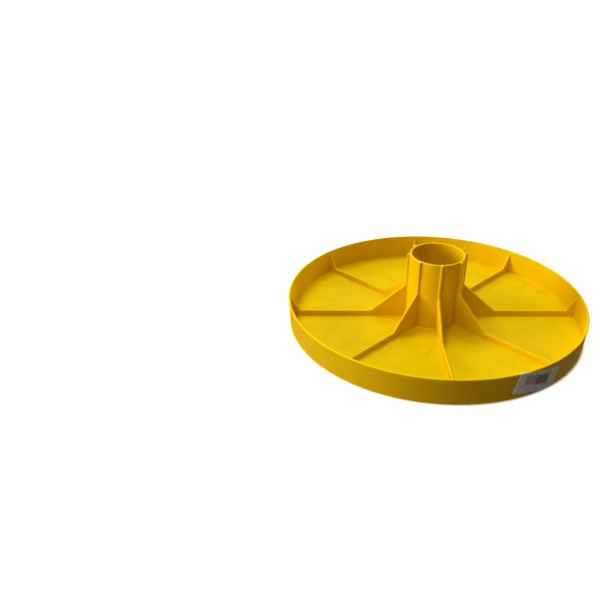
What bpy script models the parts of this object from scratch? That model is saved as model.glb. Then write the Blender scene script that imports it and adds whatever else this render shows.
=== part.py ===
"""Water dish for birds, moulded in one piece: a round tray, a pipe socket in its middle and eight ribs.

Run it with  blender --background --python part.py  or from Blender's text editor.
Metres, +Z up. The origin is the middle of the underside, on the surface that the dish stands on.

A water pipe or bottle neck stands in the socket, which the floor closes below. Water runs out of it through the
feed hole, low in the socket's wall, until it covers the hole. The hole lies above the low ribs, so the water
spreads over them into all eight compartments, and below the rim.
"""

import math

import bmesh
import bpy
from mathutils import Matrix

# Tray: a flat floor and a low wall that leans out a little towards its lip
LIP_DIAMETER = 0.300
BASE_DIAMETER = 0.296
RIM_HEIGHT = 0.027
RIM_WALL = 0.0024
RIM_LIP_RADIUS = 0.0009
FLOOR_THICKNESS = 0.0020
BASE_EDGE_RADIUS = 0.0010
RIM_FOOT_FILLET = 0.0020

# Socket: an open tube that stands on the floor, a little thicker at its foot
SOCKET_BORE = 0.0504
SOCKET_HEIGHT = 0.073
SOCKET_WALL = 0.0025
SOCKET_TAPER = 0.0003
SOCKET_LIP_RADIUS = 0.0008
SOCKET_FOOT_FILLET = 0.0015
BORE_FOOT_FILLET = 0.0010

# Ribs: low over the floor, rising to the socket as a web and to the rim as a gusset. From the web's top a bead runs
# up the socket and stands out a little more at the lip. Heights are above the floor
RIB_COUNT = 8
RIB_THICKNESS = 0.0024
RIB_EDGE_RADIUS = 0.0004
RIB_HEIGHT = 0.0060
WEB_REACH = 0.0360
WEB_HEIGHT = 0.0368
BEAD_FOOT_DEPTH = 0.0018
BEAD_LIP_DEPTH = 0.0024
GUSSET_REACH = 0.0080
GUSSET_TOP_BELOW_LIP = 0.0042

# Feed hole: through the socket's wall, midway between two ribs at the back
FEED_HOLE_DIAMETER = 0.0040
FEED_HOLE_HEIGHT = 0.0090
FEED_HOLE_RIBS_ROUND = 1.5

# Smoothness of the round shapes
TURN_STEPS = 96
CORNER_STEPS = 2
HOLE_SIDES = 16

COLLECTION_NAME = "bird_water_dish"
CONSTRUCTION_NAME = "construction"
YELLOW = (0.86, 0.60, 0.0, 1.0)

# Sizes that follow from those above
RIB_PITCH = math.tau / RIB_COUNT
BORE_RADIUS = SOCKET_BORE / 2
SOCKET_TOP_RADIUS = BORE_RADIUS + SOCKET_WALL
SOCKET_FOOT_RADIUS = SOCKET_TOP_RADIUS + SOCKET_TAPER


def clear_scene():
    """Remove every object of the scene."""
    for old in list(bpy.data.objects):
        bpy.data.objects.remove(old, do_unlink=True)


def new_collection(name, parent):
    """Return a new collection linked under its parent."""
    collection = bpy.data.collections.new(name)
    parent.children.link(collection)
    return collection


def rim_outer_radius(z):
    """Return the radius of the rim's outer face at a height."""
    lean = (LIP_DIAMETER - BASE_DIAMETER) / 2
    return BASE_DIAMETER / 2 + lean * z / RIM_HEIGHT


def socket_outer_radius(z):
    """Return the radius of the socket's outer face at a height."""
    share = (SOCKET_HEIGHT - z) / (SOCKET_HEIGHT - FLOOR_THICKNESS)
    return SOCKET_TOP_RADIUS + SOCKET_TAPER * share


def corner(radius, centre_r, centre_z, start_degrees, end_degrees):
    """Return the points (r, z) of a rounded corner, from its start angle to its end angle."""
    points = []
    for step in range(CORNER_STEPS + 1):
        angle = math.radians(start_degrees + (end_degrees - start_degrees) * step / CORNER_STEPS)
        points.append((centre_r + radius * math.cos(angle), centre_z + radius * math.sin(angle)))
    return points


def tray_profile():
    """Return the half section of tray and socket as points (r, z).

    It starts at the axis on the bore's floor, goes up the bore and over the socket's lip, out along the floor,
    over the rim, down its outer face and back to the axis along the underside.
    """
    floor = FLOOR_THICKNESS
    rim_inner_foot = rim_outer_radius(floor) - RIM_WALL
    profile = [(0, floor)]
    profile += corner(
        BORE_FOOT_FILLET, BORE_RADIUS - BORE_FOOT_FILLET, floor + BORE_FOOT_FILLET, -90, 0
    )
    profile += corner(
        SOCKET_LIP_RADIUS, BORE_RADIUS + SOCKET_LIP_RADIUS, SOCKET_HEIGHT - SOCKET_LIP_RADIUS, 180, 90
    )
    profile += corner(
        SOCKET_LIP_RADIUS, SOCKET_TOP_RADIUS - SOCKET_LIP_RADIUS, SOCKET_HEIGHT - SOCKET_LIP_RADIUS, 90, 0
    )
    profile += corner(
        SOCKET_FOOT_FILLET, SOCKET_FOOT_RADIUS + SOCKET_FOOT_FILLET, floor + SOCKET_FOOT_FILLET, 180, 270
    )
    profile += corner(
        RIM_FOOT_FILLET, rim_inner_foot - RIM_FOOT_FILLET, floor + RIM_FOOT_FILLET, -90, 0
    )
    profile += corner(
        RIM_LIP_RADIUS, LIP_DIAMETER / 2 - RIM_WALL + RIM_LIP_RADIUS, RIM_HEIGHT - RIM_LIP_RADIUS, 180, 90
    )
    profile += corner(
        RIM_LIP_RADIUS, LIP_DIAMETER / 2 - RIM_LIP_RADIUS, RIM_HEIGHT - RIM_LIP_RADIUS, 90, 0
    )
    profile += corner(
        BASE_EDGE_RADIUS, BASE_DIAMETER / 2 - BASE_EDGE_RADIUS, BASE_EDGE_RADIUS, 0, -90
    )
    profile.append((0, 0))
    return profile


def make_tray(collection):
    """Return tray and socket, turned about Z from their half section."""
    profile = tray_profile()
    mesh = bpy.data.meshes.new("dish")
    edges = [(index, index + 1) for index in range(len(profile) - 1)]
    mesh.from_pydata([(r, 0, z) for r, z in profile], edges, [])
    tray = bpy.data.objects.new("dish", mesh)
    collection.objects.link(tray)
    turn = tray.modifiers.new("Turn", "SCREW")
    turn.axis = "Z"
    turn.angle = math.tau
    turn.steps = TURN_STEPS
    turn.render_steps = TURN_STEPS
    turn.use_merge_vertices = True
    turn.merge_threshold = 0.00001
    turn.use_smooth_shade = True
    return tray


def rib_outline():
    """Return the outline of one rib as points (r, z).

    The rib is rooted in the middle of the floor, of the socket's wall and of the rim's wall.
    """
    root_z = FLOOR_THICKNESS / 2
    root_r = BORE_RADIUS + SOCKET_WALL / 2
    low_z = FLOOR_THICKNESS + RIB_HEIGHT
    web_z = FLOOR_THICKNESS + WEB_HEIGHT
    gusset_z = RIM_HEIGHT - GUSSET_TOP_BELOW_LIP
    gusset_foot_r = rim_outer_radius(FLOOR_THICKNESS) - RIM_WALL - GUSSET_REACH
    return [
        (root_r, root_z),
        (rim_outer_radius(root_z) - RIM_WALL / 2, root_z),
        (rim_outer_radius(gusset_z) - RIM_WALL / 2, gusset_z),
        (rim_outer_radius(gusset_z) - RIM_WALL, gusset_z),
        (gusset_foot_r, low_z),
        (SOCKET_FOOT_RADIUS + WEB_REACH, low_z),
        (socket_outer_radius(web_z) + BEAD_FOOT_DEPTH, web_z),
        (SOCKET_TOP_RADIUS + BEAD_LIP_DEPTH, SOCKET_HEIGHT),
        (root_r, SOCKET_HEIGHT),
    ]


def rib_mesh(collection):
    """Return the mesh of one rib that runs out along +X, its outline extruded to both sides."""
    outline = rib_outline()
    curve = bpy.data.curves.new("rib", "CURVE")
    curve.dimensions = "2D"
    curve.fill_mode = "BOTH"
    curve.extrude = RIB_THICKNESS / 2
    spline = curve.splines.new("POLY")
    spline.points.add(len(outline) - 1)
    for point, (r, z) in zip(spline.points, outline):
        point.co = (r, z, 0, 1)
    spline.use_cyclic_u = True
    drawing = bpy.data.objects.new("rib_outline", curve)
    collection.objects.link(drawing)
    drawing.matrix_world = Matrix.Rotation(math.radians(90), 4, "X")
    graph = bpy.context.evaluated_depsgraph_get()
    mesh = bpy.data.meshes.new_from_object(drawing.evaluated_get(graph))
    mesh.transform(drawing.matrix_world)
    bpy.data.objects.remove(drawing, do_unlink=True)
    work = bmesh.new()
    work.from_mesh(mesh)
    bmesh.ops.remove_doubles(work, verts=work.verts, dist=0.00001)
    bmesh.ops.recalc_face_normals(work, faces=work.faces)
    work.to_mesh(mesh)
    work.free()
    return mesh


def as_construction(shape):
    """Mark an object that only shapes the dish, so that it isn't rendered."""
    shape.hide_render = True
    shape.display_type = "WIRE"


def make_ribs(collection):
    """Add the ribs, evenly round the socket, with their edges rounded."""
    mesh = rib_mesh(collection)
    for index in range(RIB_COUNT):
        rib = bpy.data.objects.new(f"rib_{index + 1}", mesh)
        rib.rotation_euler.z = index * RIB_PITCH
        collection.objects.link(rib)
        edges = rib.modifiers.new("Round edges", "BEVEL")
        edges.width = RIB_EDGE_RADIUS
        edges.segments = 2
        edges.limit_method = "ANGLE"
        edges.angle_limit = math.radians(60)
        as_construction(rib)


def make_feed_hole(collection):
    """Return the cylinder that drills the feed hole outwards through one side of the socket."""
    mesh = bpy.data.meshes.new("feed_hole")
    work = bmesh.new()
    bmesh.ops.create_cone(
        work,
        cap_ends=True,
        segments=HOLE_SIDES,
        radius1=FEED_HOLE_DIAMETER / 2,
        radius2=FEED_HOLE_DIAMETER / 2,
        depth=3 * SOCKET_WALL,
    )
    work.to_mesh(mesh)
    work.free()
    angle = FEED_HOLE_RIBS_ROUND * RIB_PITCH
    middle_r = BORE_RADIUS + SOCKET_WALL / 2
    height = FLOOR_THICKNESS + FEED_HOLE_HEIGHT
    drill = bpy.data.objects.new("feed_hole", mesh)
    drill.matrix_world = (
        Matrix.Rotation(angle, 4, "Z")
        @ Matrix.Translation((middle_r, 0, height))
        @ Matrix.Rotation(math.radians(90), 4, "Y")
    )
    collection.objects.link(drill)
    as_construction(drill)
    return drill


def yellow_plastic():
    """Return the moulding's plastic: a strong yellow with a soft gloss."""
    material = bpy.data.materials.new("yellow_plastic")
    material.use_nodes = True
    shader = material.node_tree.nodes["Principled BSDF"]
    shader.inputs["Base Color"].default_value = YELLOW
    shader.inputs["Roughness"].default_value = 0.42
    shader.inputs["Metallic"].default_value = 0.0
    return material


def main():
    clear_scene()
    scene_collection = bpy.context.scene.collection
    dish_collection = new_collection(COLLECTION_NAME, scene_collection)
    construction = new_collection(CONSTRUCTION_NAME, scene_collection)
    ribs = new_collection("ribs", construction)
    dish = make_tray(dish_collection)
    make_ribs(ribs)
    add_ribs = dish.modifiers.new("Add ribs", "BOOLEAN")
    add_ribs.operation = "UNION"
    add_ribs.operand_type = "COLLECTION"
    add_ribs.collection = ribs
    drill = dish.modifiers.new("Drill feed hole", "BOOLEAN")
    drill.operation = "DIFFERENCE"
    drill.object = make_feed_hole(construction)
    dish.data.materials.append(yellow_plastic())


main()
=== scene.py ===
"""Looks of a moulded plastic water dish for birds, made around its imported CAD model.

The dish is one injection moulding: a round tray with a low leaning rim, a tall socket in its middle and
eight ribs that run from the rim to the socket's lip. It is rebuilt here as one fine closed surface with
rounded edges, and a paper label is stuck on its rim. Lengths are in metres and angles in degrees unless a
name says otherwise.
"""

from __future__ import annotations

import logging
import math
from collections.abc import Sequence
from dataclasses import dataclass, field
from enum import Enum, IntEnum
from typing import Union

import bpy
import numpy as np
from mathutils import Matrix, Vector


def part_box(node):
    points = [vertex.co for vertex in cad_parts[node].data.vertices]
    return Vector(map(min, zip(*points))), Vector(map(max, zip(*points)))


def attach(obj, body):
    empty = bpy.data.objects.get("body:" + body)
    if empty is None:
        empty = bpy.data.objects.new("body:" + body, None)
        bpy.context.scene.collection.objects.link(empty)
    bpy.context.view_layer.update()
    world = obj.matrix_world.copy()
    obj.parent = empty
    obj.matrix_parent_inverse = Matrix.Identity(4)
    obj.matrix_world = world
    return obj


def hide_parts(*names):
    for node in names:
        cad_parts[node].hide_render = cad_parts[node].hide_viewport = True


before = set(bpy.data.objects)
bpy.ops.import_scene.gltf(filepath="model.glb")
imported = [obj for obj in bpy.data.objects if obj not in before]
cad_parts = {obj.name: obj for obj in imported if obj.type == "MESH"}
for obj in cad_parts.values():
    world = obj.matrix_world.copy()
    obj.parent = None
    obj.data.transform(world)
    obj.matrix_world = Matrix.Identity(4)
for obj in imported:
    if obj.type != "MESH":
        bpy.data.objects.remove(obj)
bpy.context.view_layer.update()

BODY = "root"
CAD_NODE = "dish"

log = logging.getLogger("bird_water_dish")

Colour = tuple[float, float, float]
Place = tuple[float, float, float]
Feed = Union[bpy.types.NodeSocket, float, Sequence[float]]

# A noise texture's values seldom leave this range
NOISE_RANGE = (0.3, 0.7)

# Keeps a division by a rib's height sound where there is no rib
SMALLEST_HEIGHT = 1e-9


class Axis(IntEnum):
    """The two measures of a point on a half section."""

    RADIUS = 0
    HEIGHT = 1


class BodyCorner(IntEnum):
    """Corners of the half section of tray and socket, in the order of travel."""

    BORE_MIDDLE = 0
    BORE_FOOT = 1
    SOCKET_LIP_INSIDE = 2
    SOCKET_LIP_OUTSIDE = 3
    SOCKET_FOOT = 4
    RIM_FOOT = 5
    RIM_LIP_INSIDE = 6
    RIM_LIP_OUTSIDE = 7
    BASE_EDGE = 8
    UNDERSIDE_MIDDLE = 9


class CrestCorner(IntEnum):
    """Corners of a rib's crest, in the order of travel."""

    LIP_MIDDLE = 0
    BEAD_TOP = 1
    WEB_TOP = 2
    WEB_FOOT = 3
    GUSSET_FOOT = 4
    GUSSET_TOP = 5


class MarkKind(Enum):
    """What a mark on the plastic is."""

    SCUFF = "a rubbed stroke, paler and duller than the plastic"
    # A darker stroke: grime, and also the painted shade on the floor by the front web's foot
    DARK_STROKE = "a stroke of grime, darker than the plastic"
    FLOW = "a weld line where two fronts of melt met, a little darker and glossier"


class Lamp(Enum):
    """Where a studio light stands and what it does there."""

    LOW_LEFT = "the main light, which shapes webs, socket and rim"
    LOW_FRONT = "lifts the near side a little"
    LOW_BACK = "skims over the floor from the back right"
    BACK = "lights the lips from behind"
    HIGH_BACK_RIGHT = "fills the floor"
    HIGH_BACK_LEFT = "fills the floor and the rim's inside"
    HIGH_FRONT = "fills the floor and the near side"


@dataclass(frozen=True)
class Corner:
    """A point where two straight runs of a half section would meet.

    Attributes:
        r: Distance from the turning axis.
        z: Height.
        radius: Radius of the arc that rounds the corner, 0 at the path's two ends.
    """

    r: float
    z: float
    radius: float = 0.0


class SectionPath:
    """A half section in the (r, z) plane: straight runs joined by tangent arcs, measured by its own length.

    The free side, where the outward normal points, lies to the left of the direction of travel. An arc
    starts radius * tan(turn / 2) before its corner, and its points are
    start + radius * (sin(a) * heading + (1 - cos(a)) * side), with a from 0 to the turn and side the
    heading turned a quarter towards the arc's centre. Each arc is laid out in FINE_STEPS steps.
    """

    FINE_STEPS = 64

    def __init__(self, corners: Sequence[Corner]) -> None:
        """Lay the runs and arcs end to end.

        Args:
            corners: The corners in order, the first and the last being the path's ends.
        """
        spots = np.array([(c.r, c.z) for c in corners])
        runs = np.diff(spots, axis=0)
        headings = runs / np.linalg.norm(runs, axis=1, keepdims=True)
        points = [spots[:1]]
        normals = [self.left_of(headings[:1])]
        self.spans: list[tuple[float, float]] = [(0.0, 0.0)]
        travelled = 0.0
        for index in range(1, len(corners) - 1):
            before, after = headings[index - 1], headings[index]
            turn = math.atan2(before[0] * after[1] - before[1] * after[0], float(before @ after))
            radius = corners[index].radius
            start = spots[index] - before * radius * math.tan(abs(turn) / 2)
            angles = np.linspace(0.0, abs(turn), self.FINE_STEPS + 1)[:, None]
            side = self.left_of(before[None])[0] * math.copysign(1.0, turn)
            arc = start + radius * (np.sin(angles) * before + (1 - np.cos(angles)) * side)
            travel = np.cos(angles) * before + np.sin(angles) * side
            travelled += float(np.linalg.norm(start - points[-1][-1]))
            self.spans.append((travelled, travelled + radius * abs(turn)))
            travelled = self.spans[-1][1]
            points.append(arc)
            normals.append(self.left_of(travel))
        travelled += float(np.linalg.norm(spots[-1] - points[-1][-1]))
        self.spans.append((travelled, travelled))
        points.append(spots[-1:])
        normals.append(self.left_of(headings[-1:]))
        self._points = np.concatenate(points)
        self._normals = np.concatenate(normals)
        steps = np.linalg.norm(np.diff(self._points, axis=0), axis=1)
        lengths = np.concatenate([[0.0], np.cumsum(steps)])
        self._lengths = lengths * travelled / lengths[-1]
        self.length = travelled

    @staticmethod
    def left_of(headings: np.ndarray) -> np.ndarray:
        """Return each heading (r, z) turned a quarter to its left, which is (-z, r)."""
        return np.stack([-headings[:, 1], headings[:, 0]], axis=1)

    def at(self, lengths: np.ndarray) -> tuple[np.ndarray, np.ndarray]:
        """Return the points and the outward normals at lengths along the path.

        Args:
            lengths: Distances from the path's start.

        Returns:
            Two arrays of (r, z), one row for each length.
        """
        point, normal = (
            np.stack([np.interp(lengths, self._lengths, table[:, axis]) for axis in Axis], axis=1)
            for table in (self._points, self._normals)
        )
        return point, normal / np.linalg.norm(normal, axis=1, keepdims=True)

    def middle(self, corner: int) -> float:
        """Return the length at the middle of a corner's arc."""
        return sum(self.spans[corner]) / 2

    def where(self, axis: Axis, value: float, after: int) -> float:
        """Return the length at which the run behind a corner crosses a radius or a height.

        Args:
            axis: Which of the two is meant.
            value: The radius or height to find.
            after: Index of the corner that the run starts from.

        Returns:
            The length along the path.
        """
        low, high = self.spans[after][1], self.spans[after + 1][0]
        ends = self.at(np.array([low, high]))[0][:, axis]
        return low + (high - low) * (value - ends[0]) / (ends[1] - ends[0])

    def stations(self, arc_steps: int, longest: float, guard: float) -> np.ndarray:
        """Return lengths that sample the path: even steps on arcs, wide ones on straight runs.

        Args:
            arc_steps: Steps on each arc.
            longest: Longest step on a straight run.
            guard: Distance from an arc at which a straight run gets one extra station, to keep its shading
                flat, or a quarter of the run where that is less.

        Returns:
            The lengths in rising order.
        """
        found = [np.array([0.0, self.length])]
        for (_, low), (high, _) in zip(self.spans[:-1], self.spans[1:]):
            inset = min(guard, (high - low) / 4)
            count = max(1, math.ceil((high - low) / longest))
            found.append(np.linspace(low, high, count + 1))
            found.append(np.array([low + inset, high - inset]))
        for low, high in self.spans[1:-1]:
            found.append(np.linspace(low, high, arc_steps + 1))
        return np.unique(np.concatenate(found))


class NodeSheet:
    """A material's nodes, with short calls that add a node and return its output socket."""

    def __init__(self, name: str) -> None:
        """Start a node material.

        Args:
            name: The material's name.
        """
        self.material = bpy.data.materials.new(name)
        self.material.use_nodes = True
        self.tree = self.material.node_tree
        self.shader = self.tree.nodes["Principled BSDF"]

    def add(self, kind: str, feeds: dict[Union[int, str], Feed], **settings: object) -> bpy.types.Node:
        """Add a node, set its properties and feed its inputs.

        Args:
            kind: The node's type name.
            feeds: Input index or name, and the socket or value that goes into it.
            settings: Properties of the node.

        Returns:
            The new node.
        """
        node = self.tree.nodes.new(kind)
        for name, value in settings.items():
            setattr(node, name, value)
        for key, value in feeds.items():
            self.feed(node.inputs[key], value)
        return node

    def feed(self, target: bpy.types.NodeSocket, value: Feed) -> None:
        """Link a socket to an input, or set the input's own value.

        Args:
            target: The input.
            value: The socket or value that goes into it.
        """
        if isinstance(value, bpy.types.NodeSocket):
            self.tree.links.new(value, target)
        else:
            target.default_value = value

    def value_of(self, operation: str, *feeds: Feed) -> bpy.types.NodeSocket:
        """Return the result of one step of arithmetic on numbers."""
        return self.add("ShaderNodeMath", dict(enumerate(feeds)), operation=operation).outputs[0]

    def vector_of(self, operation: str, *feeds: Feed) -> bpy.types.NodeSocket:
        """Return the vector that one step of vector arithmetic gives."""
        return self.add("ShaderNodeVectorMath", dict(enumerate(feeds)), operation=operation).outputs[0]

    def number_of(self, operation: str, *feeds: Feed) -> bpy.types.NodeSocket:
        """Return the number that one step of vector arithmetic gives, such as a length."""
        node = self.add("ShaderNodeVectorMath", dict(enumerate(feeds)), operation=operation)
        return node.outputs["Value"]

    def place(self) -> bpy.types.NodeSocket:
        """Return the surface point in the object's own coordinates, in metres."""
        return self.add("ShaderNodeTexCoord", {}).outputs["Object"]

    def grain(self, place: Feed, size: float, detail: float = 2.0,
              rough: float = 0.5) -> bpy.types.NodeSocket:
        """Return smooth noise from 0 to 1.

        Args:
            place: Coordinates in metres.
            size: Width of one blotch, in metres.
            detail: Octaves of finer noise.
            rough: Strength of each octave against the one before.

        Returns:
            The noise value.
        """
        feeds = {"Vector": place, "Scale": 1 / size, "Detail": detail, "Roughness": rough}
        return self.add("ShaderNodeTexNoise", feeds).outputs["Fac"]

    def spread(self, value: Feed, low: float, high: float, to_low: float,
               to_high: float) -> bpy.types.NodeSocket:
        """Return value carried from low and high onto to_low and to_high, eased and held at the ends."""
        feeds = {0: value, 1: low, 2: high, 3: to_low, 4: to_high}
        return self.add("ShaderNodeMapRange", feeds, interpolation_type="SMOOTHSTEP").outputs[0]

    def mixed(self, share: Feed, first: Feed, second: Feed) -> bpy.types.NodeSocket:
        """Return first turned into second by a share from 0 to 1, as colours."""
        return self.add("ShaderNodeMix", {0: share, 6: first, 7: second}, data_type="RGBA").outputs[2]

    def bump(self, height: Feed, depth: float) -> None:
        """Shade the surface as if it rose by a height from 0 to 1 times a depth in metres."""
        feeds = {"Height": height, "Distance": depth, "Strength": 1.0}
        self.feed(self.shader.inputs["Normal"], self.add("ShaderNodeBump", feeds).outputs[0])

    def stroke(self, place: Feed, start: Place, end: Place, width: float) -> bpy.types.NodeSocket:
        """Return a mask that is 1 along the line between two points and fades to 0 half a width away.

        The distance is that from the point p to a + t * (b - a), with t the share of the way at which the
        line comes closest, (p - a) . (b - a) / |b - a|^2, held between 0 and 1.

        Args:
            place: Coordinates in metres.
            start: First end of the line.
            end: Other end of the line.
            width: Full width of the mask.

        Returns:
            The mask.
        """
        way = Vector(end) - Vector(start)
        reach = self.vector_of("SUBTRACT", place, start)
        along = self.number_of("DOT_PRODUCT", reach, tuple(way / way.length_squared))
        share = self.add("ShaderNodeClamp", {0: along, 1: 0.0, 2: 1.0}).outputs[0]
        nearest = self.add("ShaderNodeVectorMath", {0: tuple(way), "Scale": share}, operation="SCALE")
        distance = self.number_of("DISTANCE", reach, nearest.outputs[0])
        return self.spread(distance, 0.0, width / 2, 1.0, 0.0)


@dataclass(frozen=True)
class Mark:
    """One mark on the plastic.

    Attributes:
        kind: What sort of mark it is.
        start: First end, on the surface.
        end: Other end.
        width: Full width.
        strength: How far it goes towards its kind's colour and gloss, from 0 to 1.
    """

    kind: MarkKind
    start: Place
    end: Place
    width: float
    strength: float


@dataclass(frozen=True)
class MarkEffect:
    """What a kind of mark does to the plastic at full strength.

    Attributes:
        share: How far it takes the plastic's colour towards its own.
        dulling: What it adds to the roughness.
    """

    share: float
    dulling: float


MARK_EFFECTS: dict[MarkKind, MarkEffect] = {
    MarkKind.SCUFF: MarkEffect(share=0.5, dulling=0.25),
    MarkKind.DARK_STROKE: MarkEffect(share=0.9, dulling=0.10),
    MarkKind.FLOW: MarkEffect(share=0.45, dulling=-0.10),
}

FLOOR_TOP = 0.002


def on_floor(kind: MarkKind, start: tuple[float, float], end: tuple[float, float], width: float,
             strength: float) -> Mark:
    """Return a mark on the tray's floor, its ends given as (x, y) in metres."""
    return Mark(kind, (*start, FLOOR_TOP), (*end, FLOOR_TOP), width, strength)


FLOOR_MARKS: tuple[Mark, ...] = (
    on_floor(MarkKind.DARK_STROKE, (-0.0408, 0.1031), (-0.0316, 0.0773), 0.0032, 0.55),
    on_floor(MarkKind.SCUFF, (-0.0380, 0.1040), (-0.0270, 0.0800), 0.0028, 0.45),
    on_floor(MarkKind.FLOW, (-0.1024, 0.0505), (-0.0560, 0.0300), 0.0050, 0.40),
    on_floor(MarkKind.SCUFF, (-0.0980, 0.0440), (-0.0600, 0.0265), 0.0040, 0.30),
    on_floor(MarkKind.FLOW, (-0.0868, 0.0211), (-0.0657, 0.0146), 0.0050, 0.40),
    on_floor(MarkKind.DARK_STROKE, (0.1099, 0.0851), (0.1275, 0.0511), 0.0040, 0.35),
    # Painted shade: a soft dark patch on the floor in front of the socket, by the front web's foot
    on_floor(MarkKind.DARK_STROKE, (-0.0172, -0.0784), (-0.0080, -0.0611), 0.0064, 0.62),
    on_floor(MarkKind.DARK_STROKE, (-0.0180, -0.0590), (-0.0060, -0.0560), 0.0170, 0.40),
    on_floor(MarkKind.FLOW, (0.0152, -0.0448), (0.0404, -0.0555), 0.0080, 0.45),
    on_floor(MarkKind.FLOW, (0.0130, -0.0560), (0.0330, -0.0680), 0.0070, 0.30),
    on_floor(MarkKind.SCUFF, (0.0973, -0.0235), (0.0990, -0.0245), 0.0040, 0.90),
    on_floor(MarkKind.SCUFF, (0.0945, -0.0312), (0.0867, -0.0692), 0.0050, 0.25),
    on_floor(MarkKind.FLOW, (-0.0771, -0.0359), (-0.0507, -0.0320), 0.0060, 0.35),
    on_floor(MarkKind.DARK_STROKE, (-0.0520, -0.0330), (-0.0400, -0.0300), 0.0100, 0.30),
)


@dataclass(frozen=True)
class YellowPlastic:
    """Glossy polyolefin as moulded: strong yellow, faintly mottled, with flow lines from the middle.

    Attributes:
        colour: The plastic's own colour, linear.
        level_painted_light: Painted light: the colour of level faces at floor height, paler and more lemon
            than the walls.
        edge: Painted highlight: the colour of level faces above the floor, along lips and crests, paler
            still.
        deep: The colour where it is a little richer in pigment or grimy, and of the painted shade by the
            front web's foot.
        pale: The colour of a rubbed spot.
        gloss_tint: Tint of the reflection, which keeps the sheen yellow.
        roughness: Mean roughness.
        gloss: Strength of the reflection, where 0.5 is that of bare clean plastic.
        refraction: Index of refraction.
        level_range: Upward part of a face's direction, from a wall's to a level face's, over which the
            painted light on level faces sets in.
        edge_range: Height over the floor over which a level face's painted light turns into the painted
            highlight of a lip or a crest.
        flow_size: Length of one blotch in the flow lines.
        flow_circle: Radius of the circle round which the flow lines' noise is read.
        mottle_size: Width of one blotch of the mottling.
        speckle_size: Width of one speckle.
        flow_share: Share of the flow lines in the tone, of which mottling is the rest.
        speckle_share: Share of the speckles in the tone.
        deep_range: Tones between which the deep colour sets in.
        deep_share: How far the colour then goes towards the deep one.
        dulling: What the tone adds to the roughness where it is lowest and highest.
        ragged_size: Width of the blotches that break up a mark, as a share of its width.
        ragged_range: Noise values between which a mark gains its full strength.
        ragged_least: Share of a mark that the blotches always leave.
        peel: Width of the bumps of the skin's orange peel.
        peel_depth: Their height.
        marks: Scuffs, dark strokes and weld lines; two dark strokes are painted shade by the front web's
            foot.
    """

    colour: Colour = (0.82, 0.515, 0.001)
    level_painted_light: Colour = (0.86, 0.605, 0.001)
    edge: Colour = (0.93, 0.67, 0.004)
    deep: Colour = (0.68, 0.38, 0.0005)
    pale: Colour = (0.92, 0.68, 0.02)
    gloss_tint: Colour = (1.0, 0.85, 0.03)
    roughness: float = 0.38
    gloss: float = 0.35
    refraction: float = 1.49
    level_range: tuple[float, float] = (0.3, 0.95)
    edge_range: tuple[float, float] = (0.001, 0.004)
    flow_size: float = 0.012
    flow_circle: float = 0.2
    mottle_size: float = 0.022
    speckle_size: float = 0.0016
    flow_share: float = 0.35
    speckle_share: float = 0.12
    deep_range: tuple[float, float] = (0.40, 0.62)
    deep_share: float = 0.22
    dulling: tuple[float, float] = (-0.05, 0.06)
    ragged_size: float = 0.8
    ragged_range: tuple[float, float] = (0.3, 0.6)
    ragged_least: float = 0.35
    peel: float = 0.0011
    peel_depth: float = 0.000012
    marks: tuple[Mark, ...] = FLOOR_MARKS

    def material(self) -> bpy.types.Material:
        """Build the node material.

        Returns:
            The material.
        """
        sheet = NodeSheet("yellow_plastic")
        place = sheet.place()
        colour, roughness = self._skin(sheet, place)
        for mark in self.marks:
            colour, roughness = self._marked(sheet, place, mark, colour, roughness)
        sheet.feed(sheet.shader.inputs["Base Color"], colour)
        sheet.feed(sheet.shader.inputs["Roughness"], roughness)
        sheet.shader.inputs["IOR"].default_value = self.refraction
        sheet.shader.inputs["Specular IOR Level"].default_value = self.gloss
        sheet.shader.inputs["Specular Tint"].default_value = (*self.gloss_tint, 1.0)
        sheet.bump(sheet.grain(place, self.peel, detail=3.0), self.peel_depth)
        return sheet.material

    def _skin(self, sheet: NodeSheet, place: Feed) -> tuple[bpy.types.NodeSocket, bpy.types.NodeSocket]:
        """Return the plain skin's colour and roughness.

        Flow lines are noise on (c x / d, c y / d, d), with d the distance from the axis and c flow_circle,
        which stretches each blotch along the way that the melt ran. Level faces are painted with light: at
        floor height the floor's painted light, and above it the paler painted highlight of the edges.

        Args:
            sheet: The material's nodes.
            place: Coordinates in metres.

        Returns:
            The colour and the roughness.
        """
        flat = sheet.vector_of("MULTIPLY", place, (1.0, 1.0, 0.0))
        ray = sheet.vector_of("NORMALIZE", flat)
        circle = sheet.vector_of("MULTIPLY", ray, (self.flow_circle, self.flow_circle, 0.0))
        outward = sheet.number_of("LENGTH", flat)
        rise = sheet.add("ShaderNodeCombineXYZ", {2: outward}).outputs[0]
        flow = sheet.grain(sheet.vector_of("ADD", circle, rise), self.flow_size)
        mottle = sheet.grain(place, self.mottle_size, detail=4.0, rough=0.6)
        speckle = sheet.grain(place, self.speckle_size)
        broad = sheet.value_of("MULTIPLY", mottle, 1 - self.flow_share)
        broad = sheet.value_of("MULTIPLY_ADD", flow, self.flow_share, broad)
        tone = sheet.value_of("MULTIPLY", broad, 1 - self.speckle_share)
        tone = sheet.value_of("MULTIPLY_ADD", speckle, self.speckle_share, tone)
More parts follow.
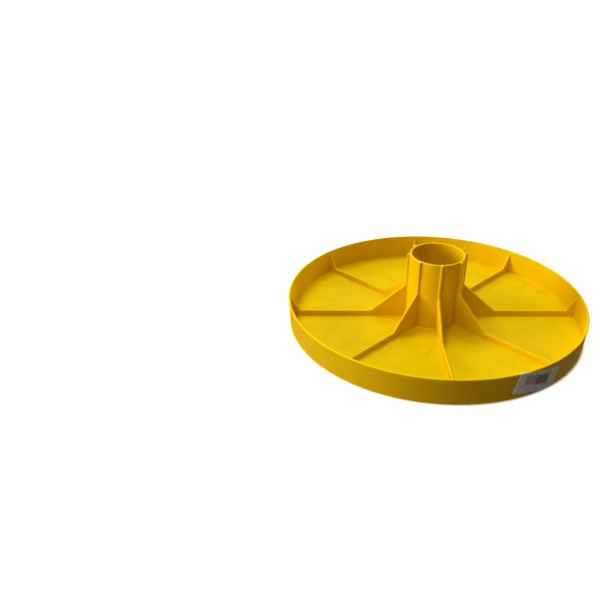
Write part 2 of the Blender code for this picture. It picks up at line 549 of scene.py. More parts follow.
        # Painted light: faces that look up are painted paler and more lemon than walls, and lips and crests
        # above the floor paler still
        height = sheet.add("ShaderNodeSeparateXYZ", {0: place}).outputs["Z"]
        facing = sheet.add("ShaderNodeTexCoord", {}).outputs["Normal"]
        upward = sheet.add("ShaderNodeSeparateXYZ", {0: facing}).outputs["Z"]
        level = sheet.spread(upward, *self.level_range, 0.0, 1.0)
        edge_heights = (FLOOR_TOP + over for over in self.edge_range)
        raised = sheet.spread(height, *edge_heights, 0.0, 1.0)
        painted_top_light = sheet.mixed(raised, (*self.level_painted_light, 1.0), (*self.edge, 1.0))
        own = sheet.mixed(level, (*self.colour, 1.0), painted_top_light)
        deepened = sheet.spread(tone, *self.deep_range, 0.0, self.deep_share)
        colour = sheet.mixed(deepened, own, (*self.deep, 1.0))
        dull = sheet.spread(tone, *NOISE_RANGE, *self.dulling)
        return colour, sheet.value_of("ADD", dull, self.roughness)

    def _marked(self, sheet: NodeSheet, place: Feed, mark: Mark, colour: Feed,
                roughness: Feed) -> tuple[bpy.types.NodeSocket, bpy.types.NodeSocket]:
        """Return colour and roughness with one mark worked in, broken up by noise along its length.

        Args:
            sheet: The material's nodes.
            place: Coordinates in metres.
            mark: The mark.
            colour: The colour without it.
            roughness: The roughness without it.

        Returns:
            The colour and the roughness with it.
        """
        blotches = sheet.grain(place, mark.width * self.ragged_size)
        ragged = sheet.spread(blotches, *self.ragged_range, self.ragged_least, 1.0)
        mask = sheet.stroke(place, mark.start, mark.end, mark.width)
        mask = sheet.value_of("MULTIPLY", sheet.value_of("MULTIPLY", mask, ragged), mark.strength)
        effect = MARK_EFFECTS[mark.kind]
        tone = self.pale if mark.kind is MarkKind.SCUFF else self.deep
        new_colour = sheet.mixed(sheet.value_of("MULTIPLY", mask, effect.share), colour, (*tone, 1.0))
        return new_colour, sheet.value_of("MULTIPLY_ADD", mask, effect.dulling, roughness)


@dataclass(frozen=True)
class PrintField:
    """One rectangle of ink on the label, as shares of the label's width and height.

    Attributes:
        left: Its left edge.
        low: Its lower edge.
        right: Its right edge.
        high: Its upper edge.
        ink: Its colour.
        cover: Share of the paper that the ink hides.
    """

    left: float
    low: float
    right: float
    high: float
    ink: Colour
    cover: float


INK: Colour = (0.10, 0.09, 0.085)
GRIME: Colour = (0.05, 0.03, 0.01)


@dataclass(frozen=True)
class LabelPaper:
    """Matt white label paper with a plain faded print: a block in two tones, a few bars and a smudge.

    Attributes:
        paper: Colour of the bare paper.
        fibre_shade: Colour of the paper's fibres.
        fields: What is printed or smudged on it, with no words.
        roughness: Roughness of the paper.
        soft_edge: Half the blur of a field's upright edges, as a share of the label's width.
        wear_size: Width of the blotches that wear the ink off.
        wear_range: Noise values between which the ink gains its full strength.
        wear_least: Share of the ink that is always left.
        fibre_size: Width of the fibres' blotches.
        fibre_share: How far the paper goes towards their colour.
        crease_size: Width of the paper's waves.
        crease_depth: Their height.
    """

    paper: Colour = (0.82, 0.84, 0.88)
    fibre_shade: Colour = (0.62, 0.64, 0.66)
    fields: tuple[PrintField, ...] = (
        PrintField(0.17, 0.42, 0.43, 0.84, INK, 0.50),
        PrintField(0.43, 0.39, 0.77, 0.82, INK, 0.78),
        PrintField(0.60, 0.28, 0.84, 0.42, INK, 0.25),
        PrintField(0.33, 0.88, 0.66, 0.94, INK, 0.35),
        PrintField(0.12, 0.33, 0.24, 0.38, INK, 0.40),
        PrintField(0.25, 0.17, 0.34, 0.22, INK, 0.45),
        PrintField(0.48, 0.14, 0.56, 0.20, GRIME, 0.35),
        PrintField(0.36, 0.00, 0.46, 0.06, GRIME, 0.75),
        PrintField(0.54, 0.01, 0.60, 0.07, GRIME, 0.40),
    )
    roughness: float = 0.7
    soft_edge: float = 0.012
    wear_size: float = 0.0012
    wear_range: tuple[float, float] = (0.32, 0.60)
    wear_least: float = 0.75
    fibre_size: float = 0.0006
    fibre_share: float = 0.25
    crease_size: float = 0.006
    crease_depth: float = 0.0003

    def material(self) -> bpy.types.Material:
        """Build the node material on the label's UV map.

        Returns:
            The material.
        """
        sheet = NodeSheet("label_paper")
        across = sheet.add("ShaderNodeUVMap", {}, uv_map="label").outputs[0]
        place = sheet.place()
        wear = sheet.grain(place, self.wear_size, detail=3.0)
        worn = sheet.spread(wear, *self.wear_range, self.wear_least, 1.0)
        fibres = sheet.grain(place, self.fibre_size, detail=4.0)
        shade = sheet.spread(fibres, *NOISE_RANGE, 0.0, self.fibre_share)
        colour: Feed = sheet.mixed(shade, (*self.paper, 1.0), (*self.fibre_shade, 1.0))
        for patch in self.fields:
            mask = sheet.value_of("MULTIPLY", self._inside(sheet, across, patch), worn)
            colour = sheet.mixed(sheet.value_of("MULTIPLY", mask, patch.cover), colour, (*patch.ink, 1.0))
        sheet.feed(sheet.shader.inputs["Base Color"], colour)
        sheet.shader.inputs["Roughness"].default_value = self.roughness
        sheet.bump(sheet.grain(place, self.crease_size), self.crease_depth)
        return sheet.material

    def _inside(self, sheet: NodeSheet, across: Feed, patch: PrintField) -> bpy.types.NodeSocket:
        """Return a soft-edged mask of one rectangle: the product of its four edges' ramps.

        The label is half as high as it is wide, so the blur up and down is twice as large a share.

        Args:
            sheet: The material's nodes.
            across: The label's UV map.
            patch: The rectangle.

        Returns:
            The mask.
        """
        parts = sheet.add("ShaderNodeSeparateXYZ", {0: across}).outputs
        wide, high = self.soft_edge, 2 * self.soft_edge
        edges = [
            sheet.spread(parts["X"], patch.left - wide, patch.left + wide, 0.0, 1.0),
            sheet.spread(parts["X"], patch.right - wide, patch.right + wide, 1.0, 0.0),
            sheet.spread(parts["Y"], patch.low - high, patch.low + high, 0.0, 1.0),
            sheet.spread(parts["Y"], patch.high - high, patch.high + high, 1.0, 0.0),
        ]
        mask = edges[0]
        for edge in edges[1:]:
            mask = sheet.value_of("MULTIPLY", mask, edge)
        return mask


@dataclass(frozen=True)
class StudioPaint:
    """Plain pale paint of the studio's floor.

    Attributes:
        colour: Its colour.
        contact_glow: Light of its own under the dish's edge, where it lies in shadow.
        near_glow: Light of its own beside the dish, which leaves a breath of shadow.
        far_glow: Light of its own further out, which keeps it white under soft light.
        contact_reach: Distance from the dish's middle over which the first turns into the second.
        glow_reach: Distance over which the second turns into the third.
        roughness: Roughness of the paint.
        cloud_size: Width of one cloud in its tone.
        cloud_tone: Brightness of the clouds against the rest.
        cloud_share: How far the colour goes towards theirs.
    """

    colour: Colour = (0.92, 0.92, 0.92)
    contact_glow: float = 0.0
    near_glow: float = 0.80
    far_glow: float = 1.0
    contact_reach: tuple[float, float] = (0.1475, 0.1515)
    glow_reach: tuple[float, float] = (0.2, 0.8)
    roughness: float = 0.9
    cloud_size: float = 0.6
    cloud_tone: float = 0.9
    cloud_share: float = 0.03

    def material(self) -> bpy.types.Material:
        """Build the material with the faintest cloudiness.

        Returns:
            The material.
        """
        sheet = NodeSheet("studio_paint")
        place = sheet.place()
        cloud = sheet.spread(sheet.grain(place, self.cloud_size), *NOISE_RANGE, 0.0, self.cloud_share)
        shade = tuple(self.cloud_tone * part for part in self.colour)
        tone = sheet.mixed(cloud, (*self.colour, 1.0), (*shade, 1.0))
        sheet.feed(sheet.shader.inputs["Base Color"], tone)
        sheet.shader.inputs["Roughness"].default_value = self.roughness
        sheet.shader.inputs["Specular IOR Level"].default_value = 0.0
        sheet.shader.inputs["Emission Color"].default_value = (1.0, 1.0, 1.0, 1.0)
        outward = sheet.number_of("LENGTH", place)
        near = sheet.spread(outward, *self.contact_reach, self.contact_glow, self.near_glow)
        rise = sheet.spread(outward, *self.glow_reach, 0.0, self.far_glow - self.near_glow)
        sheet.feed(sheet.shader.inputs["Emission Strength"], sheet.value_of("ADD", near, rise))
        return sheet.material


def new_piece(name: str, points: np.ndarray, faces: list[list[int]]) -> bpy.types.Object:
    """Make a smooth-shaded mesh object at the origin.

    Args:
        name: The object's and the mesh's name.
        points: One row (x, y, z) for each vertex.
        faces: Vertex numbers of each face, anticlockwise seen from outside.

    Returns:
        The object, linked to the scene.
    """
    mesh = bpy.data.meshes.new(name)
    mesh.from_pydata(points, [], faces)
    mesh.validate()
    mesh.shade_smooth()
    piece = bpy.data.objects.new(name, mesh)
    bpy.context.scene.collection.objects.link(piece)
    return piece


def grid_quads(rows: int, columns: int) -> list[list[int]]:
    """Return the faces of a grid of points that are numbered row by row.

    Args:
        rows: Number of cells from the first row of points to the last.
        columns: Number of cells along a row.

    Returns:
        Four vertex numbers for each cell.
    """
    wide = columns + 1
    row, column = np.meshgrid(np.arange(rows), np.arange(columns), indexing="ij")
    corner = (row * wide + column).ravel()
    return np.stack([corner, corner + 1, corner + wide + 1, corner + wide], axis=1).tolist()


def baked(piece: bpy.types.Object) -> None:
    """Apply every modifier of a piece to its mesh.

    Args:
        piece: The piece, whose old mesh is removed.
    """
    graph = bpy.context.evaluated_depsgraph_get()
    mesh = bpy.data.meshes.new_from_object(piece.evaluated_get(graph))
    old = piece.data
    piece.modifiers.clear()
    piece.data = mesh
    mesh.name = piece.name
    bpy.data.meshes.remove(old)


@dataclass
class DishMoulding:
    """The one-piece moulding: tray, rim, socket and ribs as one closed surface.

    The surface has two parameters: the length along the half section of tray and socket, and the place
    across one sixteenth of a turn, from the middle plane of a rib to the plane midway to the next. The
    main sizes are those of the CAD model, and the rounding is finer. Those that need more than a name are
    listed.

    Attributes:
        socket_taper: How much thicker the socket's wall is at its foot than at its lip.
        rib_draft: How much further out a rib's flank lies at its foot than at its crest.
        web_reach: How far a web reaches from the socket's foot before it becomes a low rib.
        bead_foot_depth: How far a bead stands out from the socket at the web's top.
        gusset_foot_share: Share of a gusset's crest whose rows start on the floor and not on the rim.
        feed_hole_ribs_round: Direction of the feed hole, in rib pitches from +X.
        drill_reach: Ends of the feed hole's drill, in wall thicknesses from the middle of the wall.
        guard_step: Length of the extra step beside each arc.
        closest_step: Rows closer than this are left out.
        fillet_room: Height at which a rib gets its full fillet, in edge and fillet radii together.
        edge_room: Depth under a crest at which it gets its full round edge, in edge radii.
        spread_length: Length over which the columns beside a rib go over to even angles.
        crest_columns: Columns on half a crest's flat top.
        field_columns: Columns from a rib's foot to the plane midway to the next rib.
    """

    lip_diameter: float
    socket_height: float
    base_diameter: float = 0.296
    rim_height: float = 0.027
    rim_wall: float = 0.0024
    rim_lip_radius: float = 0.0009
    rim_foot_fillet: float = 0.0010
    floor_thickness: float = FLOOR_TOP
    base_edge_radius: float = 0.0004
    socket_bore: float = 0.0504
    socket_wall: float = 0.0025
    socket_taper: float = 0.0003
    socket_lip_radius: float = 0.0008
    socket_foot_fillet: float = 0.0015
    bore_foot_fillet: float = 0.0010
    rib_count: int = 8
    rib_thickness: float = 0.0024
    rib_draft: float = 0.00006
    rib_edge_radius: float = 0.0008
    rib_foot_fillet: float = 0.0004
    rib_height: float = 0.0060
    rib_bend_radius: float = 0.0015
    web_reach: float = 0.0360
    web_height: float = 0.0368
    bead_foot_depth: float = 0.0018
    bead_lip_depth: float = 0.0024
    bead_corner_radius: float = 0.0009
    gusset_reach: float = 0.0080
    gusset_top_below_lip: float = 0.0042
    gusset_foot_share: float = 0.42
    feed_hole_diameter: float = 0.0040
    feed_hole_height: float = 0.0090
    feed_hole_ribs_round: float = 1.5
    drill_reach: tuple[float, float] = (-1.0, 1.5)
    arc_steps: int = 6
    longest_step: float = 0.007
    guard_step: float = 0.0004
    closest_step: float = 0.00006
    fillet_room: float = 3.0
    edge_room: float = 4.0
    spread_length: float = 0.014
    crest_columns: int = 2
    edge_columns: int = 3
    flank_columns: int = 3
    fillet_columns: int = 4
    field_columns: int = 10
    hole_sides: int = 40
    finish: YellowPlastic = field(default_factory=YellowPlastic)

    @property
    def lip_radius(self) -> float:
        """Radius of the rim's lip."""
        return self.lip_diameter / 2

    @property
    def bore_radius(self) -> float:
        """Radius of the socket's bore."""
        return self.socket_bore / 2

    @property
    def socket_middle_radius(self) -> float:
        """Radius halfway through the socket's wall at its lip."""
        return self.bore_radius + self.socket_wall / 2

    @property
    def socket_radius(self) -> float:
        """Radius of the socket's outer face at its lip."""
        return self.bore_radius + self.socket_wall

    def rim_radius(self, z: float) -> float:
        """Return the radius of the rim's outer face at a height, which leans out evenly to the lip."""
        return self.base_diameter / 2 + (self.lip_diameter - self.base_diameter) / 2 * z / self.rim_height

    def socket_outer_radius(self, z: float) -> float:
        """Return the radius of the socket's outer face at a height, a little wider at its foot."""
        share = (self.socket_height - z) / (self.socket_height - self.floor_thickness)
        return self.socket_radius + self.socket_taper * share

    def body_path(self) -> SectionPath:
        """Return the half section of tray and socket.

        It goes from the axis out over the bore's floor, up the bore, over the socket's lip, down, out along
        the floor, over the rim and back to the axis along the underside. The rim leans out, so its sharp
        outer corner lies beyond the lip's rounding by radius * (tan(turn / 2) - 1), and the rounded lip is
        as wide as stated.

        Returns:
            The path, with its corners in the order of BodyCorner.
        """
        floor = self.floor_thickness
        rim_inside = self.rim_radius(self.rim_height) - self.rim_wall
        lean = math.atan((self.lip_diameter - self.base_diameter) / 2 / self.rim_height)
        overhang = self.rim_lip_radius * (math.tan((math.pi / 2 + lean) / 2) - 1)
        return SectionPath([
            Corner(0.0, floor),
            Corner(self.bore_radius, floor, self.bore_foot_fillet),
            Corner(self.bore_radius, self.socket_height, self.socket_lip_radius),
            Corner(self.socket_radius, self.socket_height, self.socket_lip_radius),
            Corner(self.socket_outer_radius(floor), floor, self.socket_foot_fillet),
            Corner(self.rim_radius(floor) - self.rim_wall, floor, self.rim_foot_fillet),
            Corner(rim_inside, self.rim_height, self.rim_lip_radius),
            Corner(self.lip_radius + overhang, self.rim_height, self.rim_lip_radius),
            Corner(self.rim_radius(0.0), 0.0, self.base_edge_radius),
            Corner(0.0, 0.0),
        ])

    def crest_path(self) -> SectionPath:
        """Return the outline of a rib's crest, from the socket's lip out to the rim's inner face.

        Returns:
            The path, with its corners in the order of CrestCorner.
        """
        web_z = self.floor_thickness + self.web_height
        low_z = self.floor_thickness + self.rib_height
        web_foot = self.socket_outer_radius(self.floor_thickness) + self.web_reach
        gusset_z = self.rim_height - self.gusset_top_below_lip
        gusset_foot = self.rim_radius(self.floor_thickness) - self.rim_wall - self.gusset_reach
        return SectionPath([
            Corner(self.socket_middle_radius, self.socket_height),
            Corner(self.socket_radius + self.bead_lip_depth, self.socket_height, self.bead_corner_radius),
            Corner(self.socket_outer_radius(web_z) + self.bead_foot_depth, web_z, self.rib_bend_radius),
            Corner(web_foot, low_z, self.rib_bend_radius),
            Corner(gusset_foot, low_z, self.rib_bend_radius),
            Corner(self.rim_radius(gusset_z) - self.rim_wall, gusset_z),
        ])

    def _pairs(self, body: SectionPath, crest: SectionPath) -> tuple[np.ndarray, np.ndarray]:
        """Return lengths along the body and lengths along the crest that belong to the same row.

        Between them a row's height line, from body to crest, turns evenly, so no two lines cross. The arc
        at the web's top belongs to a stretch of wall that reaches two guard steps above and below it, and
        the bends over the floor belong to the places right below them.

        Args:
            body: The half section of tray and socket.
            crest: The outline of a rib's crest.

        Returns:
            The two arrays of lengths, both in rising order.
        """
        web_z = self.floor_thickness + self.web_height
        gusset_z = self.rim_height - self.gusset_top_below_lip
        step = self.guard_step
        lip_edge, lip_end = body.spans[BodyCorner.SOCKET_LIP_OUTSIDE]
        lip_edge_radius = body.at(np.array([lip_edge]))[0][0, Axis.RADIUS]
        bead_end = crest.spans[CrestCorner.BEAD_TOP][1]
        web_top, web_top_end = crest.spans[CrestCorner.WEB_TOP]
        bends = [*crest.spans[CrestCorner.WEB_FOOT], *crest.spans[CrestCorner.GUSSET_FOOT]]
        bend_radii = crest.at(np.array(bends))[0][:, Axis.RADIUS]
        below_bends = [body.where(Axis.RADIUS, radius, BodyCorner.SOCKET_FOOT) for radius in bend_radii]
        gusset_crest = crest.length - bends[-1]
        pairs = [
            (body.where(Axis.RADIUS, self.socket_middle_radius, BodyCorner.SOCKET_LIP_INSIDE), 0.0),
            (lip_edge, crest.where(Axis.RADIUS, lip_edge_radius, CrestCorner.LIP_MIDDLE)),
            (body.middle(BodyCorner.SOCKET_LIP_OUTSIDE), crest.middle(CrestCorner.BEAD_TOP)),
            (lip_end + step, bead_end + step),
            (body.where(Axis.HEIGHT, web_z + 2 * step, BodyCorner.SOCKET_LIP_OUTSIDE), web_top),
            (body.where(Axis.HEIGHT, web_z - 2 * step, BodyCorner.SOCKET_LIP_OUTSIDE), web_top_end),
            (body.middle(BodyCorner.SOCKET_FOOT), (web_top_end + bends[0]) / 2),
            *zip(below_bends, bends),
            (body.middle(BodyCorner.RIM_FOOT), bends[-1] + self.gusset_foot_share * gusset_crest),
            (body.where(Axis.HEIGHT, gusset_z, BodyCorner.RIM_FOOT), crest.length),
        ]
        return np.array([pair[0] for pair in pairs]), np.array([pair[1] for pair in pairs])

    def _rows(self) -> tuple[np.ndarray, ...]:
        """Work out every row of the mesh along the half section.

        Where there is no rib the crest is the body itself. The spread goes from 0 beside a rib to 1 where
        columns lie at even angles, eased over spread_length by 3 t^2 - 2 t^3.

        Returns:
            Body points, crest points, crest normals and the spread of every row.
        """
        body, crest = self.body_path(), self.crest_path()
        body_keys, crest_keys = self._pairs(body, crest)
        own = body.stations(self.arc_steps, self.longest_step, self.guard_step)
        from_crest = crest.stations(self.arc_steps, self.longest_step, self.guard_step)
        lengths = np.unique(np.concatenate([own, np.interp(from_crest, crest_keys, body_keys), body_keys]))
        keep = np.concatenate([[True], np.diff(lengths) > self.closest_step])
        keep[-2] &= lengths[-1] - lengths[-2] > self.closest_step
        keep[-1] = True
        lengths = lengths[keep]
        body_points, body_normals = body.at(lengths)
        crest_points, crest_normals = crest.at(np.interp(lengths, body_keys, crest_keys))
        ribbed = ((lengths >= body_keys[0]) & (lengths <= body_keys[-1]))[:, None]
        crest_points = np.where(ribbed, crest_points, body_points)
        crest_normals = np.where(ribbed, crest_normals, body_normals)
        away = np.maximum(body_keys[0] - lengths, lengths - body_keys[-1]).clip(0.0) / self.spread_length
        share = away.clip(0.0, 1.0)
        return body_points, crest_points, crest_normals, share * share * (3 - 2 * share)

    def _half_sector(self) -> tuple[np.ndarray, np.ndarray, np.ndarray]:
        """Work out every vertex of a sixteenth of a turn.

        Across, a row is: the crest's flat top; a quarter round of radius e, at y = a - e + e sin(p) and
        e (1 - cos(p)) below the crest; the flank; a quarter hollow of radius f at y = b + f (1 - cos(q))
        and f (1 - sin(q)) from the body towards the crest; and the field, evenly in angle. Where the rib is
        lower than fillet_room * (e + f), f shrinks with its height, and e shrinks where the crest lies less
        than edge_room * e above the body. A place y beside the rib's middle plane lies at the angle
        asin(y / radius).

        Returns:
            Angle, radius and height of every vertex, as rows by columns.
        """
        body, crest, crest_normal, spread = self._rows()
        height = np.linalg.norm(crest - body, axis=1)
        rise = (crest - body) / np.maximum(height, SMALLEST_HEIGHT)[:, None]
        edge, fillet, half = self.rib_edge_radius, self.rib_foot_fillet, self.rib_thickness / 2
        fillet_fit = (height / (self.fillet_room * (edge + fillet))).clip(0.0, 1.0)[:, None, None]
        depth = np.einsum("ij,ij->i", crest - body, crest_normal)
        edge_fit = (depth / (self.edge_room * edge)).clip(0.0, 1.0)[:, None, None]
        body, rise, crest, crest_normal = (part[:, None] for part in (body, rise, crest, crest_normal))
        edge_turn = np.linspace(0.0, math.pi / 2, self.edge_columns + 1)[1:]
        fillet_turn = np.linspace(0.0, math.pi / 2, self.fillet_columns + 1)[1:]
        down = np.linspace(0.0, 1.0, self.flank_columns + 1)[1:][None, :, None]
        across = np.concatenate([
            np.linspace(0.0, half - edge, self.crest_columns + 1),
            half - edge + edge * np.sin(edge_turn),
            half + self.rib_draft * down[0, :, 0],
            half + self.rib_draft + fillet * (1 - np.cos(fillet_turn)),
        ])
        flank_top = crest - crest_normal * edge * edge_fit
        flank_foot = body + rise * fillet * fillet_fit
        points = np.concatenate([
            np.repeat(crest, self.crest_columns + 1, axis=1),
            crest - crest_normal * edge * edge_fit * (1 - np.cos(edge_turn))[None, :, None],
            flank_top * (1 - down) + flank_foot * down,
            body + rise * fillet * fillet_fit * (1 - np.sin(fillet_turn))[None, :, None],
        ], axis=1)
        sector = math.pi / self.rib_count
        beside = np.arcsin(across[None] / np.maximum(points[..., 0], self.bore_radius))
        out = np.linspace(0.0, 1.0, self.field_columns + 1)[None, 1:]
        field_angle = beside[:, -1:] * (1 - out) + sector * out
        angle = np.concatenate([beside, field_angle], axis=1)
        points = np.concatenate([points, np.repeat(body, self.field_columns, axis=1)], axis=1)
        even = np.linspace(0.0, sector, angle.shape[1])[None]
        angle = angle * (1 - spread[:, None]) + even * spread[:, None]
        return angle, points[..., 0], points[..., 1]

    def _turned(self) -> tuple[np.ndarray, list[list[int]]]:
        """Work out the whole turn.

        Each sector is the half sector and its mirror image, turned by whole rib pitches. The first and the
        last row lie on the axis, so each is one vertex with a fan of triangles round it.

        Returns:
            The vertices and the faces.
        """
        angle, radius, height = self._half_sector()
        pitch = math.tau / self.rib_count
        mirrored = slice(-2, 0, -1)
        angle = np.concatenate([angle, pitch - angle[:, mirrored]], axis=1)
        radius = np.concatenate([radius, radius[:, mirrored]], axis=1)[1:-1]
        height_ring = np.concatenate([height, height[:, mirrored]], axis=1)[1:-1]
        turns = np.arange(self.rib_count) * pitch
        angle = (angle[1:-1, None, :] + turns[None, :, None]).reshape(len(radius), -1)
        radius = np.tile(radius, (1, self.rib_count))
        height_ring = np.tile(height_ring, (1, self.rib_count))
        ring = np.stack([radius * np.cos(angle), radius * np.sin(angle), height_ring], axis=2)
        rows, columns = radius.shape
        poles = np.array([[0.0, 0.0, height[0, 0]], [0.0, 0.0, height[-1, 0]]])
        points = np.concatenate([ring.reshape(-1, 3), poles])
        row, column = np.meshgrid(np.arange(rows - 1), np.arange(columns), indexing="ij")
        beside = (column + 1) % columns
        here, there = row * columns, (row + 1) * columns
        quads = np.stack([here + column, there + column, there + beside, here + beside], axis=2)
        around = np.arange(columns)
        nearby = (around + 1) % columns
        first, last = rows * columns, rows * columns + 1
        start = (rows - 1) * columns
        inner = np.stack([np.full(columns, first), around, nearby], axis=1)
        outer = np.stack([start + around, np.full(columns, last), start + nearby], axis=1)
        return points, quads.reshape(-1, 4).tolist() + inner.tolist() + outer.tolist()

    def _drill(self, piece: bpy.types.Object) -> None:
        """Cut the feed hole through the socket's wall with a round drill that points along its radius.

        The drill's surface is middle + length * ray + radius * (cos(a) * side + sin(a) * up).

        Args:
            piece: The undrilled moulding.
        """
        direction = math.radians(self.feed_hole_ribs_round * 360 / self.rib_count)
        ray = np.array([math.cos(direction), math.sin(direction), 0.0])
        side = np.array([-math.sin(direction), math.cos(direction), 0.0])
        up = np.array([0.0, 0.0, 1.0])
        turn = np.linspace(0.0, math.tau, self.hole_sides, endpoint=False)[:, None]
        circle = self.feed_hole_diameter / 2 * (np.cos(turn) * side + np.sin(turn) * up)
        middle = ray * self.socket_middle_radius + up * (self.floor_thickness + self.feed_hole_height)
        ends = [middle + ray * self.socket_wall * reach + circle for reach in self.drill_reach]
        count = self.hole_sides
        near = np.arange(count)
        sides = np.stack([near, (near + 1) % count, count + (near + 1) % count, count + near], axis=1)
        faces = sides.tolist() + [near[::-1].tolist(), (count + near).tolist()]
        drill = new_piece("feed_hole_drill", np.concatenate(ends), faces)
        cut = piece.modifiers.new("Drill feed hole", "BOOLEAN")
        cut.operation = "DIFFERENCE"
        cut.object = drill
        baked(piece)
        bpy.data.objects.remove(drill, do_unlink=True)

    def build(self) -> bpy.types.Object:
        """Build, drill and dress the moulding, in place of its CAD node.

        Returns:
            The finished piece.
        """
        points, faces = self._turned()
        piece = new_piece("dish_moulding", points, faces)
        self._drill(piece)
        piece.data.materials.clear()
        piece.data.materials.append(self.finish.material())
        piece.data.shade_smooth()
        normals = piece.modifiers.new("Keep flats flat", "WEIGHTED_NORMAL")
        normals.mode = "FACE_AREA"
        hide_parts(CAD_NODE)
        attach(piece, BODY)
        return piece


@dataclass
class RimLabel:
    """A small paper label stuck slantwise on the rim's outside, its upper corner turned over the lip.

    Attributes:
        dish: The moulding that it sticks to.
        width: Its longer side.
        height: Its shorter side.
        azimuth: Direction of its middle from the dish's axis.
        middle_height: Height of its middle.
        slant: How far it is turned from level, against the clock.
        thickness: Thickness of the paper.
        stand_off: Glue gap under it.
        lowest: How far below its middle the paper may reach before it is pressed round the base's edge.
        crease: Length over which that lowest part is taken up.
        curl: How far its loose corners stand off the rim.
        curl_power: How sharply the curl sets in towards a corner.
        columns: Cells of the mesh along it.
        rows: Cells of the mesh up it.
        finish: Its paper and print.
    """

    dish: DishMoulding
    width: float = 0.0462
    height: float = 0.0232
    azimuth: float = -61.8
    middle_height: float = 0.0127
    slant: float = -11.0
    thickness: float = 0.00012
    stand_off: float = 0.00004
    lowest: float = 0.0126
    crease: float = 0.0015
    curl: float = 0.0003
    curl_power: int = 6
    columns: int = 56
    rows: int = 36
    finish: LabelPaper = field(default_factory=LabelPaper)

    def _surface(self) -> tuple[np.ndarray, np.ndarray]:
        """Work out a grid over the label.

        The flat label is turned by its slant, then wrapped: its level measure becomes an angle round the
        dish, and its upright measure a length along the rim's half section, which carries it over the lip.
        From crease above the lowest line on down, the upright measure b is eased to
        -lowest + crease * exp((b + lowest - crease) / crease). The corners' curl is curl * |2 u - 1|^n *
        |2 v - 1|^n, with n curl_power.

        Returns:
            The points and their (u, v), one row for each.
        """
        shares = np.linspace(0.0, 1.0, self.columns + 1), np.linspace(0.0, 1.0, self.rows + 1)
        across, up = np.meshgrid(*shares)
        flat_x, flat_y = (across - 0.5) * self.width, (up - 0.5) * self.height
        slant = math.radians(self.slant)
        level = flat_x * math.cos(slant) - flat_y * math.sin(slant)
        upright = flat_x * math.sin(slant) + flat_y * math.cos(slant)
        over = upright + self.lowest - self.crease
        eased = -self.lowest + self.crease * np.exp(np.minimum(over, 0.0) / self.crease)
        upright = np.where(over < 0, eased, upright)
        path = self.dish.body_path()
        middle = path.where(Axis.HEIGHT, self.middle_height, BodyCorner.RIM_LIP_OUTSIDE)
        section, normal = path.at((middle - upright).ravel())
        corner = (np.abs(across - 0.5) * 2) ** self.curl_power * (np.abs(up - 0.5) * 2) ** self.curl_power
        lift = self.stand_off + self.curl * corner.ravel() * (np.abs(upright).ravel() < self.lowest)
        section = section + normal * lift[:, None]
        radius = self.dish.rim_radius(self.middle_height)
        angle = math.radians(self.azimuth) + level.ravel() / radius
        outward, height = section[:, Axis.RADIUS], section[:, Axis.HEIGHT]
        points = np.stack([outward * np.cos(angle), outward * np.sin(angle), height], axis=1)
        return points, np.stack([across.ravel(), up.ravel()], axis=1)

    def build(self) -> bpy.types.Object:
        """Build and dress the label.

        Returns:
            The finished piece.
        """
        points, shares = self._surface()
        piece = new_piece("rim_label", points, grid_quads(self.rows, self.columns))
        layer = piece.data.uv_layers.new(name="label")
        numbers = np.zeros(len(piece.data.loops), dtype=np.int32)
        piece.data.loops.foreach_get("vertex_index", numbers)
        layer.data.foreach_set("uv", shares[numbers].astype(np.float32).ravel())
        paper = piece.modifiers.new("Paper thickness", "SOLIDIFY")
        paper.thickness = self.thickness
        paper.offset = 1.0
        piece.data.materials.append(self.finish.material())
        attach(piece, BODY)
        return piece


@dataclass(frozen=True)
class SoftLight:
    """A round studio light that faces the dish.

    Attributes:
        lamp: Its job.
        azimuth: Its direction from the dish, against the clock from +X.
        elevation: Its angle above the floor.
        power: Radiant power in watts.
        colour: Its colour.
        distance: Its distance from the dish's foot.
        diameter: Its width.
    """

    lamp: Lamp
    azimuth: float
    elevation: float
    power: float
    colour: Colour
    distance: float = 2.5
    diameter: float = 1.1

    def build(self) -> bpy.types.Object:
        """Hang the light and point it at the dish's foot.

        Returns:
            The light.
        """
        turn, rise = math.radians(self.azimuth), math.radians(self.elevation)
        ray = Vector((math.cos(rise) * math.cos(turn), math.cos(rise) * math.sin(turn), math.sin(rise)))
        name = f"light_{self.lamp.name.lower()}"
        data = bpy.data.lights.new(name, "AREA")
        data.shape = "DISK"
        data.size = self.diameter
        data.energy = self.power
        data.color = self.colour
        light = bpy.data.objects.new(name, data)
        aim = ray.to_track_quat("Z", "Y").to_matrix().to_4x4()
        light.matrix_world = Matrix.Translation(ray * self.distance) @ aim
        bpy.context.scene.collection.objects.link(light)
        return light


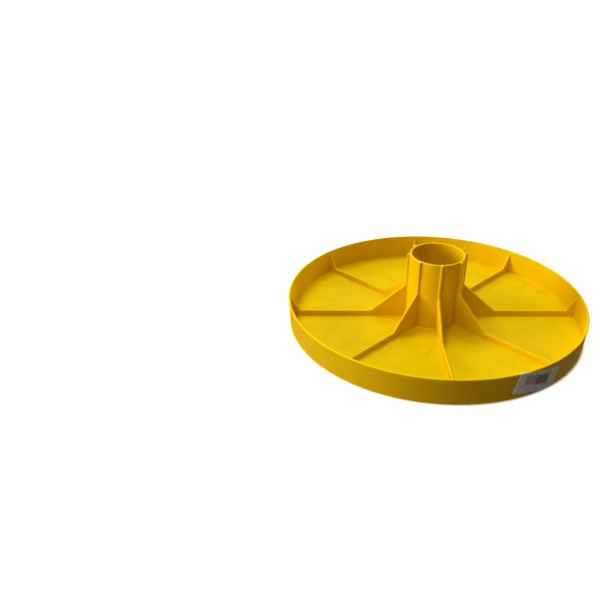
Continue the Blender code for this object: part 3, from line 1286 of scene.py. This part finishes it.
@dataclass(frozen=True)
class PhotoCamera:
    """The camera at the photograph's viewing angle.

    Attributes:
        place: Where it stands.
        heading: Its direction, clockwise from +Y seen from above.
        dip: How far it looks down.
        roll: How far it is turned about its own axis.
        focal_pixels: Focal length in pixels of the photograph.
        frame_pixels: Width of the photograph in pixels.
        sensor: Width of the sensor in millimetres.
    """

    place: Place = (-0.12032, -0.59903, 0.35365)
    heading: float = -1.692
    dip: float = 29.118
    roll: float = -0.743
    focal_pixels: float = 658.75
    frame_pixels: float = 600.0
    sensor: float = 36.0

    def build(self) -> bpy.types.Object:
        """Set up the camera and make it the scene's.

        Returns:
            The camera.
        """
        heading, dip, roll = (math.radians(part) for part in (self.heading, self.dip, self.roll))
        ahead = math.cos(dip)
        forward = Vector((math.sin(heading) * ahead, math.cos(heading) * ahead, -math.sin(dip)))
        level = Vector((math.cos(heading), -math.sin(heading), 0.0))
        upright = level.cross(forward)
        right = level * math.cos(roll) + upright * math.sin(roll)
        up = upright * math.cos(roll) - level * math.sin(roll)
        data = bpy.data.cameras.new("photo_camera")
        data.sensor_width = self.sensor
        data.lens = self.focal_pixels / self.frame_pixels * self.sensor
        camera = bpy.data.objects.new("photo_camera", data)
        turn = Matrix((right, up, -forward)).transposed().to_4x4()
        camera.matrix_world = Matrix.Translation(self.place) @ turn
        bpy.context.scene.collection.objects.link(camera)
        bpy.context.scene.camera = camera
        return camera


@dataclass
class Studio:
    """Plain pale floor, soft lights, dim surroundings and the camera.

    Attributes:
        floor_side: Length of the square floor's side.
        floor_cells: Cells of its mesh along a side.
        backdrop: Colour that the camera sees beyond the floor.
        surroundings: Light that comes from all round.
        paint: The floor's finish.
        camera: The camera.
        lights: The lights.
    """

    floor_side: float = 16.0
    floor_cells: int = 8
    backdrop: Colour = (1.0, 1.0, 1.0)
    surroundings: Colour = (0.132, 0.106, 0.090)
    paint: StudioPaint = field(default_factory=StudioPaint)
    camera: PhotoCamera = field(default_factory=PhotoCamera)
    lights: tuple[SoftLight, ...] = (
        SoftLight(Lamp.LOW_LEFT, 180.0, 12.0, 44.6, (1.0, 1.0, 0.15)),
        SoftLight(Lamp.LOW_FRONT, 210.0, 12.0, 10.4, (1.0, 0.72, 0.7)),
        SoftLight(Lamp.LOW_BACK, 30.0, 12.0, 15.0, (1.0, 1.0, 0.05)),
        SoftLight(Lamp.BACK, 90.0, 35.0, 5.5, (1.0, 1.0, 0.05)),
        SoftLight(Lamp.HIGH_BACK_RIGHT, 45.0, 62.0, 8.3, (1.0, 1.0, 0.05)),
        SoftLight(Lamp.HIGH_BACK_LEFT, 135.0, 62.0, 22.3, (1.0, 1.0, 0.05)),
        SoftLight(Lamp.HIGH_FRONT, 225.0, 62.0, 15.3, (1.0, 1.0, 0.8)),
    )

    def build(self) -> None:
        """Build everything round the dish."""
        self._floor()
        self._world()
        for light in self.lights:
            light.build()
            log.info("light %s: %s", light.lamp.name.lower(), light.lamp.value)
        self.camera.build()
        bpy.context.scene.view_settings.view_transform = "Standard"

    def _floor(self) -> None:
        """Lay a level floor under the dish, which shows to the camera and throws no light back up."""
        steps = np.linspace(-self.floor_side / 2, self.floor_side / 2, self.floor_cells + 1)
        x, y = np.meshgrid(steps, steps)
        points = np.stack([x.ravel(), y.ravel(), np.zeros(x.size)], axis=1)
        floor = new_piece("studio_floor", points, grid_quads(self.floor_cells, self.floor_cells))
        floor.data.materials.append(self.paint.material())
        floor.visible_diffuse = False
        floor.visible_glossy = False

    def _world(self) -> None:
        """Show a pale backdrop to the camera and give everything else a dim, even surround."""
        world = bpy.data.worlds.new("surroundings")
        bpy.context.scene.world = world
        world.use_nodes = True
        tree = world.node_tree
        path = tree.nodes.new("ShaderNodeLightPath")
        choice = tree.nodes.new("ShaderNodeMix")
        choice.data_type = "RGBA"
        choice.inputs[6].default_value = (*self.surroundings, 1.0)
        choice.inputs[7].default_value = (*self.backdrop, 1.0)
        tree.links.new(path.outputs["Is Camera Ray"], choice.inputs[0])
        tree.links.new(choice.outputs[2], tree.nodes["Background"].inputs["Color"])


def main() -> None:
    """Build the dish, its label and the studio in order, and report each piece."""
    logging.basicConfig(level=logging.INFO, format="%(name)s: %(message)s")
    low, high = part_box(CAD_NODE)
    dish = DishMoulding(lip_diameter=high.x - low.x, socket_height=high.z - low.z)
    for sub_assembly in (dish, RimLabel(dish)):
        piece = sub_assembly.build()
        mesh = piece.data
        log.info("%s: %d vertices, %d faces", piece.name, len(mesh.vertices), len(mesh.polygons))
    Studio().build()


if __name__ == "__main__":
    main()
